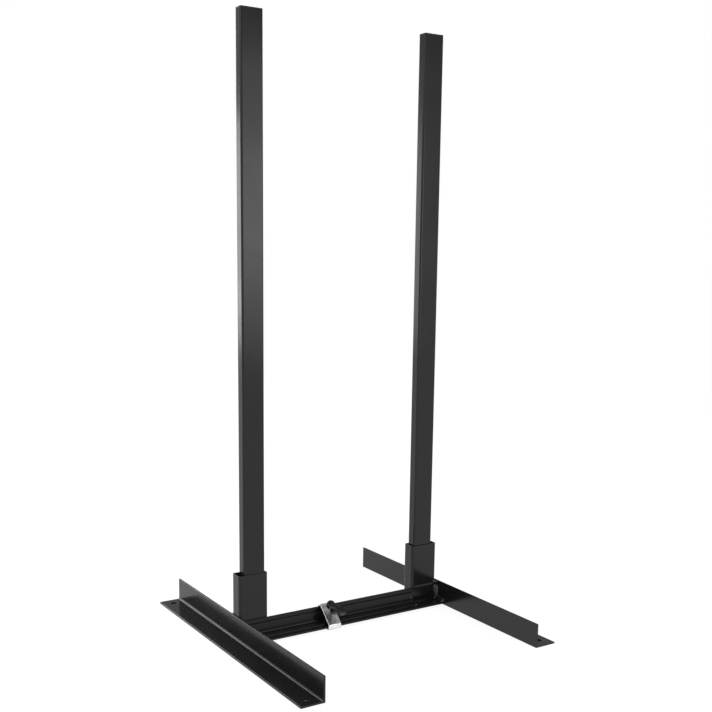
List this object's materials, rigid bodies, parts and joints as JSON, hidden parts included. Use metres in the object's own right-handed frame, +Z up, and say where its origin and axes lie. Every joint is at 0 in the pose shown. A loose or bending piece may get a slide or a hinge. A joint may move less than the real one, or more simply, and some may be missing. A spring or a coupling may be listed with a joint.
{
  "type": "adjustable floor stand",
  "caption": "Adjustable-width floor stand: angle-iron feet with welded sleeves for loose uprights, on nested angle rails that telescope and lock under a strap clamp with a wing knob.",
  "frame": {"origin": "on the floor, midway between the closed-up feet and midway along them", "axes": "+X from the left foot to the right foot along the rails, +Y along the feet to the back, +Z up along the uprights"},
  "size_m": [0.474, 0.5, 0.974],
  "materials": {
    "black_paint": "semi-gloss",
    "black_plastic": "satin",
    "zinc_plate": "bright zinc plate"
  },
  "bodies": {
    "left_base": {"left_foot": "black_paint", "left_sleeve": "black_paint", "inner_rail": "black_paint", "left_sleeve_weld": "black_paint", "left_rail_weld": "black_paint"},
    "right_base": {"right_foot": "black_paint", "right_sleeve": "black_paint", "outer_rail": "black_paint", "right_sleeve_weld": "black_paint", "right_rail_weld": "black_paint"},
    "left_upright": {"left_post": "black_paint", "left_top_plug": "black_plastic", "left_bottom_plug": "black_plastic"},
    "right_upright": {"right_post": "black_paint", "right_top_plug": "black_plastic", "right_bottom_plug": "black_plastic"},
    "clamp": {"clamp_strap": "zinc_plate", "clamp_nut": "zinc_plate"},
    "pad": {"clamp_pad": "zinc_plate"},
    "knob": {"knob_screw": "zinc_plate", "knob_head": "black_plastic"}
  },
  "joints": [
    {"name": "width_slide", "type": "slide", "parent": "left_base", "child": "right_base", "axis": [1, 0, 0], "range_m": [0, 0.15]},
    {"name": "left_upright_lift", "type": "slide", "parent": "left_base", "child": "left_upright", "axis": [0, 0, 1], "range_m": [0, 0.13]},
    {"name": "right_upright_lift", "type": "slide", "parent": "right_base", "child": "right_upright", "axis": [0, 0, 1], "range_m": [0, 0.13]},
    {"name": "clamp_slide", "type": "slide", "parent": "right_base", "child": "clamp", "axis": [1, 0, 0], "range_m": [-0.09, 0.01]},
    {"name": "pad_travel", "type": "slide", "parent": "clamp", "child": "pad", "axis": [0, -0.7071, 0.7071], "range_m": [0, 0.002]},
    {"name": "knob_turn", "type": "hinge", "parent": "pad", "child": "knob", "pos_m": [-0.036, 0.015, 0.0033], "axis": [0, -0.7071, 0.7071], "range_deg": [0, 600]}
  ],
  "couplings": [
    {"joint": "knob_turn", "follows": "pad_travel", "rad_per_m": 5026.5}
  ]
}
